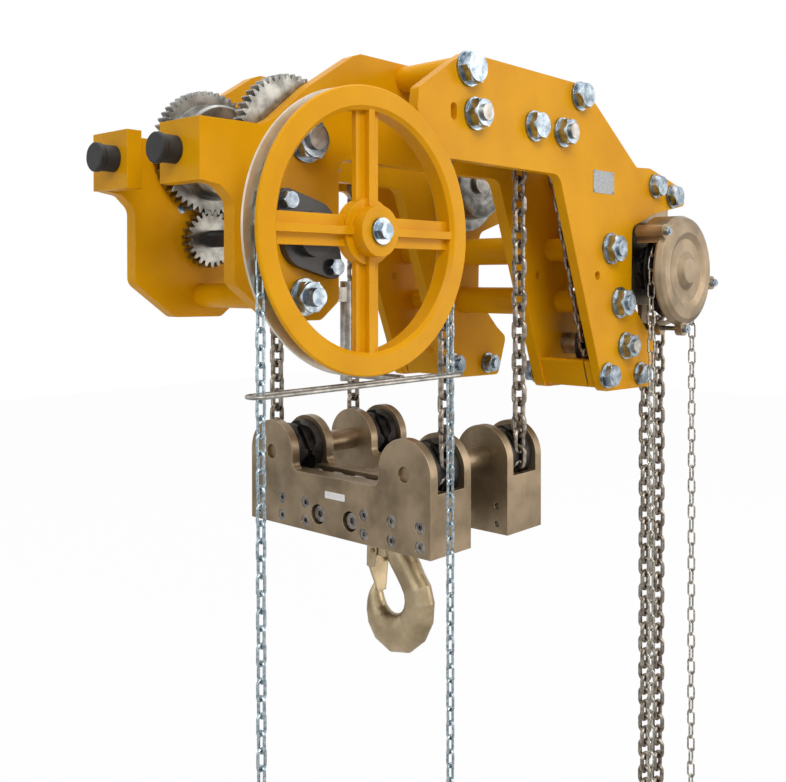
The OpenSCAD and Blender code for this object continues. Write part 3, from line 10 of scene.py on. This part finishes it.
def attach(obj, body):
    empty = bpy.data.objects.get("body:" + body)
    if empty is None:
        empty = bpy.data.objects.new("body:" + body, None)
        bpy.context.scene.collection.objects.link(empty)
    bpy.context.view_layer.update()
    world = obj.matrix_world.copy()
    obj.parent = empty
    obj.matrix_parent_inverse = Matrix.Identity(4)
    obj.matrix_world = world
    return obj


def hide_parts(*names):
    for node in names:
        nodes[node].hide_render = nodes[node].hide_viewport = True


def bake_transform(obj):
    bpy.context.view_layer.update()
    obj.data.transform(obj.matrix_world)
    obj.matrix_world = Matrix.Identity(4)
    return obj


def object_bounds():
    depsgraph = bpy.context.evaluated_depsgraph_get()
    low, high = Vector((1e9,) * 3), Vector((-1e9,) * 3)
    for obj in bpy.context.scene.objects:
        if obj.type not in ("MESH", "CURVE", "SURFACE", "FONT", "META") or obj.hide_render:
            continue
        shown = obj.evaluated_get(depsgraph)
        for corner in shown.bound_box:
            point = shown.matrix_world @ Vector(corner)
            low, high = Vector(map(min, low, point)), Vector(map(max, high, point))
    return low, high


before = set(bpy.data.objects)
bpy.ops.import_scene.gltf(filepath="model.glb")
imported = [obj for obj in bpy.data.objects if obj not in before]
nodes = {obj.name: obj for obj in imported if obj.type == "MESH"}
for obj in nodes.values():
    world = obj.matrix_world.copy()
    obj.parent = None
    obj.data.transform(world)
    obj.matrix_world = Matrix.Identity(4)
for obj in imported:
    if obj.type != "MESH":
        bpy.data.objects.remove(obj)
solid_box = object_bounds()
scene = bpy.context.scene

# The camera stands a little below the height of the drive shaft, off the buffers' end of the beam, and
# looks across the near plates towards the hoist. Its axis is level to within a degree, and the lens is
# shifted to take in the hook.
lens = bpy.data.cameras.new("camera")
lens.sensor_width = 36
lens.lens = 44.22
lens.shift_x = -0.0757
lens.shift_y = -0.1276
lens.clip_start = 0.05
lens.clip_end = 60
camera = bpy.data.objects.new("camera", lens)
camera.location = (-1.3716, -1.319, -0.141)
tilt = 89.4  # degrees from straight down
bearing = -49.6  # degrees from across the beam, towards the hoist
camera.rotation_euler = (math.radians(tilt), 0, math.radians(bearing))
scene.collection.objects.link(camera)
scene.camera = camera
scene.view_settings.view_transform = "Standard"


# The studio: the camera and mirror like metal see a white room, and the light on the object comes
# from a soft grey sky and four large lamps. A pale floor lies below the chains' lowest loops.
def linear(code):
    """An sRGB hex colour as linear light."""
    parts = [int(code[i : i + 2], 16) / 255 for i in (0, 2, 4)]
    return [c / 12.92 if c <= 0.04045 else ((c + 0.055) / 1.055) ** 2.4 for c in parts] + [1]


def add(tree, kind, settings):
    """Adds one node. A setting names a property of the node or one of its inputs; an input takes a
    value, or the socket that it is linked from."""
    node = tree.nodes.new("ShaderNode" + kind)
    for name, value in settings.items():
        if isinstance(name, str) and hasattr(node, name):
            setattr(node, name, value)
        elif isinstance(value, bpy.types.NodeSocket):
            tree.links.new(value, node.inputs[name])
        else:
            node.inputs[name].default_value = value
    return node


room = bpy.data.worlds.new("studio")
scene.world = room
room.use_nodes = True
tree = room.node_tree
tree.nodes.clear()
ray = add(tree, "LightPath", {})
seen = add(tree, "Math", {"operation": "MAXIMUM", 0: ray.outputs["Is Camera Ray"],
                          1: ray.outputs["Is Transmission Ray"]})
seen = add(tree, "Math", {"operation": "MAXIMUM", 0: seen.outputs[0], 1: ray.outputs["Is Glossy Ray"]})
place = add(tree, "TexCoord", {})
height = add(tree, "SeparateXYZ", {0: place.outputs["Generated"]})
level = add(tree, "MapRange", {"Value": height.outputs["Z"], "From Min": -1.0, "From Max": 1.0})
dome = add(tree, "ValToRGB", {"Fac": level.outputs["Result"]})
dome.color_ramp.elements[0].position = 0.30
dome.color_ramp.elements[0].color = linear("8f8f92")
dome.color_ramp.elements[1].position = 0.78
dome.color_ramp.elements[1].color = linear("fafbff")
soft = add(tree, "Background", {"Color": dome.outputs["Color"], "Strength": 0.46})
white = add(tree, "Background", {"Color": linear("ffffff"), "Strength": 1.0})
shown = add(tree, "MixShader", {0: seen.outputs[0], 1: soft.outputs[0], 2: white.outputs[0]})
add(tree, "OutputWorld", {"Surface": shown.outputs[0]})

for name, spot, aim, size, power, tint in (
    ("key", (-1.6, -3.2, 2.2), (0, 0, -0.1), (2.4, 1.6), 95, "fffaf2"),
    ("left_fill", (-3.6, -0.4, 0.6), (0, 0, -0.2), (1.6, 2.6), 19, "f4faff"),
    ("right_fill", (2.4, -2.8, 0.2), (0.2, 0, -0.2), (1.4, 2.4), 32, "fff8f0"),
    ("top", (0.1, 0.2, 2.8), (0, 0, 0), (2.6, 2.0), 40, "ffffff"),
):
    glow = bpy.data.lights.new(name, "AREA")
    glow.shape = "RECTANGLE"
    glow.size, glow.size_y = size
    glow.energy = power
    glow.color = linear(tint)[:3]
    lamp = bpy.data.objects.new(name, glow)
    lamp.location = spot
    lamp.rotation_euler = (Vector(aim) - Vector(spot)).to_track_quat("-Z", "Y").to_euler()
    scene.collection.objects.link(lamp)

floor_drop = 0.04  # metres below the lowest link
shape = bmesh.new()
bmesh.ops.create_grid(shape, x_segments=1, y_segments=1, size=9)
bmesh.ops.translate(shape, verts=shape.verts, vec=(0, 0, solid_box[0].z - floor_drop))
floor_mesh = bpy.data.meshes.new("floor")
shape.to_mesh(floor_mesh)
shape.free()
washed_out = 0.97  # share of plain white in what the camera sees of the floor
floor_paint = bpy.data.materials.new("pale_floor")
floor_paint.use_nodes = True
tree = floor_paint.node_tree
tree.nodes.clear()
ray = add(tree, "LightPath", {})
share = add(tree, "Math", {"operation": "MULTIPLY", 0: ray.outputs["Is Camera Ray"], 1: washed_out})
matt = add(tree, "BsdfDiffuse", {"Color": linear("e9e9e9"), "Roughness": 0.6})
bright = add(tree, "Emission", {"Color": linear("ffffff"), "Strength": 1.0})
shown = add(tree, "MixShader", {0: share.outputs[0], 1: matt.outputs[0], 2: bright.outputs[0]})
add(tree, "OutputMaterial", {"Surface": shown.outputs[0]})
floor_mesh.materials.append(floor_paint)
floor = bpy.data.objects.new("floor", floor_mesh)
scene.collection.objects.link(floor)


# Flame cut steel plates with the tubes that hold them apart, sprayed with a thick gloss orange yellow
# enamel. It flows off the cut edges, where it is paler, and has a faint orange peel.
def finish(name, dark, light, patch, peel, rough, metallic=0.0, edge=None, wear=0.0, radius=0.8, coat=0.0,
           gleam=0.5):
    """A finish with two tones in patches, a fine relief, softened edges and a worn tone along them.
    Patch is the size of the patches and peel the size and depth of the relief, in millimetres. Radius
    is that of the softened edges, in millimetres too."""
    made = bpy.data.materials.new(name)
    made.use_nodes = True
    tree = made.node_tree
    tree.nodes.clear()
    place = add(tree, "TexCoord", {})
    at = place.outputs["Object"]
    cloud = add(tree, "TexNoise", {"Vector": at, "Scale": 1000 / patch, "Detail": 5})
    fine = add(tree, "TexNoise", {"Vector": at, "Scale": 1000 / peel[0], "Detail": 3})
    tone = add(tree, "ValToRGB", {"Fac": cloud.outputs["Fac"]})
    tone.color_ramp.elements[0].position = 0.36
    tone.color_ramp.elements[0].color = linear(dark)
    tone.color_ramp.elements[1].position = 0.64
    tone.color_ramp.elements[1].color = linear(light)
    gloss = add(tree, "MapRange", {"Value": fine.outputs["Fac"], "From Min": 0.3, "From Max": 0.7,
                                   "To Min": rough[0], "To Max": rough[1]})
    soft_edge = add(tree, "Bevel", {"samples": 4, "Radius": radius / 1000})
    relief = add(tree, "Bump", {"Height": fine.outputs["Fac"], "Normal": soft_edge.outputs["Normal"],
                                "Strength": 1.0, "Distance": peel[1] / 1000})
    colour = tone.outputs["Color"]
    if edge:
        # The tone is worn a little further from an edge than the edge is softened.
        wide = add(tree, "Bevel", {"samples": 4, "Radius": radius * 1.8 / 1000})
        flat = add(tree, "NewGeometry", {})
        turn = add(tree, "VectorMath", {"operation": "DOT_PRODUCT", 0: wide.outputs["Normal"],
                                        1: flat.outputs["Normal"]})
        worn = add(tree, "MapRange", {"Value": turn.outputs["Value"], "From Min": 0.985, "From Max": 0.80,
                                      "To Min": 0.0, "To Max": wear})
        mixed = add(tree, "MixRGB", {"Fac": worn.outputs["Result"], "Color1": colour,
                                     "Color2": linear(edge)})
        colour = mixed.outputs["Color"]
    skin = add(tree, "BsdfPrincipled", {"Base Color": colour, "Metallic": metallic,
                                        "Roughness": gloss.outputs["Result"],
                                        "Normal": relief.outputs["Normal"], "Coat Weight": coat,
                                        "Coat Roughness": 0.12, "Specular IOR Level": gleam})
    add(tree, "OutputMaterial", {"Surface": skin.outputs[0]})
    return made


def dress(made, *names):
    """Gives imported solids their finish."""
    for name in names:
        nodes[name].data.materials.clear()
        nodes[name].data.materials.append(made)


enamel = finish("gloss_enamel", "d29204", "dc9d06", 110, (3.5, 0.015), (0.24, 0.38), edge="f0ae2c", wear=0.45,
                radius=1.6, gleam=0.1)
dress(enamel, "inner_plate_near", "inner_plate_far", "outer_plate_near", "outer_plate_far", "pocket_spacers",
      "cross_tubes")

# The big hand wheel is cast iron: its face and spokes wear the same enamel, while the chain groove and
# the rear flange are turned bare, a pale grey whose brownish tint is painted reflection of the orange plates.
to_shaft = (0.354, 0, 0.068)  # added to a place, this measures it from the wheel's axis
bare_from = 0.1845  # the bare metal begins this far from the axis, behind the plane where the face ends
face_ends = -0.2905
wheel_paint = enamel.copy()
wheel_paint.name = "enamel_and_bare_rim"
tree = wheel_paint.node_tree
skin = next(n for n in tree.nodes if n.type == "BSDF_PRINCIPLED")
output = next(n for n in tree.nodes if n.type == "OUTPUT_MATERIAL")
place = add(tree, "TexCoord", {})
axes = add(tree, "SeparateXYZ", {0: place.outputs["Object"]})
from_shaft = add(tree, "VectorMath", {"operation": "MULTIPLY_ADD", 0: place.outputs["Object"], 1: (1, 0, 1),
                                      2: to_shaft})
reach = add(tree, "VectorMath", {"operation": "LENGTH", 0: from_shaft.outputs[0]})
rim = add(tree, "Math", {"operation": "GREATER_THAN", 0: reach.outputs["Value"], 1: bare_from})
rear = add(tree, "Math", {"operation": "GREATER_THAN", 0: axes.outputs["Y"], 1: face_ends})
zone = add(tree, "Math", {"operation": "MULTIPLY", 0: rim.outputs[0], 1: rear.outputs[0]})
grain = add(tree, "TexNoise", {"Vector": place.outputs["Object"], "Scale": 40})
tone = add(tree, "ValToRGB", {"Fac": grain.outputs["Fac"]})
# The grey is the bare metal's own; the brownish tint of these tones is painted reflection of the orange
# plates.
tone.color_ramp.elements[0].color = linear("c4b8a2")
tone.color_ramp.elements[1].color = linear("f0eadd")
bare_rim_with_painted_reflection = add(tree, "BsdfPrincipled", {"Base Color": tone.outputs["Color"], "Metallic": 1.0, "Roughness": 0.36})
both = add(tree, "MixShader", {0: zone.outputs[0], 1: skin.outputs[0], 2: bare_rim_with_painted_reflection.outputs[0]})
tree.links.new(both.outputs[0], output.inputs["Surface"])
dress(wheel_paint, "trolley_hand_wheel")

# Bolts, nuts, washers, tie rods and studs are zinc plated and blue passivated, which gives the silver
# a cold tint and a slightly cloudy gloss.
zinc = finish("blue_zinc", "6c7a87", "aebac3", 14, (1.2, 0.01), (0.22, 0.40), 1.0, "e6ebee", 0.5)
dress(zinc, "pocket_bolts", "frame_nuts", "cross_rods", "frame_screws", "hub_screw", "cover_studs")

# The trolley's wheels and gears are hobbed and turned steel with a thin zinc coat, which is dulled on
# the treads and between the teeth.
turned_zinc = finish("turned_zinc", "73736f", "aeaea9", 22, (0.9, 0.01), (0.26, 0.44), 1.0, "eceeed", 0.5)
dress(turned_zinc, "geared_wheel_near", "geared_wheel_far", "plain_wheel_near", "plain_wheel_far",
      "pinion_near", "pinion_far")

# Axles, collars and bearings are bare drawn steel bar, turned to size. The guide loop is the same bar,
# bent and welded to its post.
bare_steel = finish("drawn_steel", "86837e", "b6b3ad", 18, (1.0, 0.01), (0.30, 0.50), 1.0, "dcdad6", 0.4)
dress(bare_steel, "wheel_axles", "wheel_bearings", "chain_axles", "chain_anchor", "hoist_shaft",
      "guide_post", "guide_loop")

# The buffers are moulded black rubber, matt with a dusty bloom, and each is screwed to its pad from
# behind.
rubber = finish("moulded_rubber", "121212", "1e1e1e", 25, (1.4, 0.03), (0.5, 0.7))
dress(rubber, "rubber_buffers")

# The drive shaft, its cast housings and the brake discs have a thin satin black paint, which is rubbed
# grey along the edges.
black = finish("satin_black", "16171a", "26272b", 30, (2.0, 0.02), (0.3, 0.5), 0.0, "4a4c50", 0.35, coat=0.1)
dress(black, "drive_shaft", "shaft_bearings", "brake_discs")

# The block and the hoist are sprayed with a bronze metallic paint over rough castings and plates,
# paler where handling has rubbed the edges.
bronze = finish("bronze_metallic", "7b6b54", "a28f75", 70, (2.4, 0.05), (0.30, 0.50), 0.85, "cfbb96", 0.5,
                radius=1.4, coat=0.1)
dress(bronze, "hoist_side_plates", "hoist_gear_case", "hand_wheel_cover", "cage_outer_halves",
      "cage_inner_halves", "block_axles", "cross_head", "hook_fittings")

# The forged hook and its latch wear the same bronze, rubbed brighter and more golden by slings. The
# forging has no sharp edge anywhere.
rubbed = finish("rubbed_bronze", "978669", "c2af8d", 60, (2.0, 0.05), (0.30, 0.48), 0.9, "d6c6a0", 0.4,
                radius=5.0, coat=0.1)
dress(rubbed, "hook", "safety_latch")

# Chain wheels are rough grey iron castings, dark with oil, with pockets that the links have rubbed
# brighter at the edges.
casting = finish("oiled_iron", "1c1a19", "3c3835", 16, (2.0, 0.08), (0.4, 0.65), 0.6, "706860", 0.4)
dress(casting, "top_chain_wheel", "far_chain_wheel_front", "far_chain_wheel_rear", "idler_chain_wheel",
      "load_sheave", "hoist_hand_wheel", "block_wheel_near_front", "block_wheel_far_front",
      "block_wheel_near_rear", "block_wheel_far_rear")

# The socket screws that hold the cages' halves together are dull phosphated steel, a little brassy in
# the light.
phosphated = finish("phosphated_steel", "6a6661", "a39e97", 11, (1.0, 0.01), (0.3, 0.5), 1.0, "d2cec7", 0.5)
dress(phosphated, "cage_screws")

# The trolley's hand chain is welded wire, hot dip galvanised: bright, with spangles and dull spots from
# link to link.
galvanised = finish("galvanised_wire", "7b8c95", "c3d0d5", 6, (0.8, 0.01), (0.20, 0.42), 1.0, radius=0.3)
dress(galvanised, "trolley_chain_left", "trolley_chain_right")

# The hoist's hand chain is welded wire too, electroplated, and a little warmer in tone than the
# galvanised one.
plated = finish("plated_wire", "87857c", "cbc8be", 6, (0.8, 0.01), (0.24, 0.44), 1.0, radius=0.3)
dress(plated, "pull_chain")

# The load chain is hardened alloy steel, brown grey under a film of oil, with its links brighter where
# they turn on each other.
chain_steel = finish("oiled_chain_steel", "6c635a", "b0a699", 11, (1.6, 0.03), (0.24, 0.46), 1.0, radius=0.4)
dress(chain_steel, "load_chain_falls", "load_chain_block", "load_chain_lead", "load_chain_over",
      "load_chain_slack")

# The four falls of the load chain run from the trolley's wheels down to the block's. A copy of them
# takes the place of the imported falls.
falls = bpy.data.objects.new("load_falls", nodes["load_chain_falls"].data.copy())
scene.collection.objects.link(falls)
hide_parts("load_chain_falls")
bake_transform(falls)


# The rating plate is a blank sheet of brushed aluminium a millimetre thick, held flat on the near
# outer plate by four small round head rivets.
def sheet(at, size, corner, segments):
    """A thin sheet as a bmesh, its corners rounded in its plane."""
    thin = size.index(min(size))
    shape = bmesh.new()
    bmesh.ops.create_cube(shape, size=1, matrix=Matrix.Translation(at) @ Matrix.Diagonal((*size, 1)))
    through = [e for e in shape.edges if abs(e.verts[0].co[thin] - e.verts[1].co[thin]) > size[thin] / 2]
    bmesh.ops.bevel(shape, geom=through, offset=corner, segments=segments, profile=0.5, affect="EDGES",
                    material=-1)
    return shape


def piece_of(shape, name, made):
    """Makes a bmesh a piece of the scene, in one finish."""
    mesh = bpy.data.meshes.new(name)
    shape.to_mesh(mesh)
    shape.free()
    mesh.materials.append(made)
    piece = bpy.data.objects.new(name, mesh)
    scene.collection.objects.link(piece)
    return piece


aluminium = finish("brushed_aluminium", "7f8386", "9c9fa1", 3, (0.7, 0.01), (0.35, 0.5), 0.9, "c8cacc", 0.4,
                   radius=0.3)
plate_middle = (0.305, -0.2915, 0.0565)
plate_size = (0.078, 0.001, 0.045)
shape = sheet(plate_middle, plate_size, 0.003, 4)
rivet_face = -0.292  # the face of the plate, in which the rivets' centres lie
for x in (0.270, 0.340):
    for z in (0.038, 0.075):
        bmesh.ops.create_uvsphere(shape, u_segments=12, v_segments=6, radius=0.0022,
                                  matrix=Matrix.Translation((x, rivet_face, z)))
rating_plate = piece_of(shape, "rating_plate", aluminium)
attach(rating_plate, "trolley")

# A blank white paper label, half a millimetre thick, is stuck across the front of the block under the
# cage's upper edge.
paper = finish("label_paper", "e4e3df", "f1f0ec", 8, (1.1, 0.01), (0.35, 0.5), radius=0.2)
label_middle = (-0.1608, -0.0035, -0.5385)
label_size = (0.0006, 0.053, 0.013)
block_label = piece_of(sheet(label_middle, label_size, 0.0015, 3), "block_label", paper)
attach(block_label, "block")
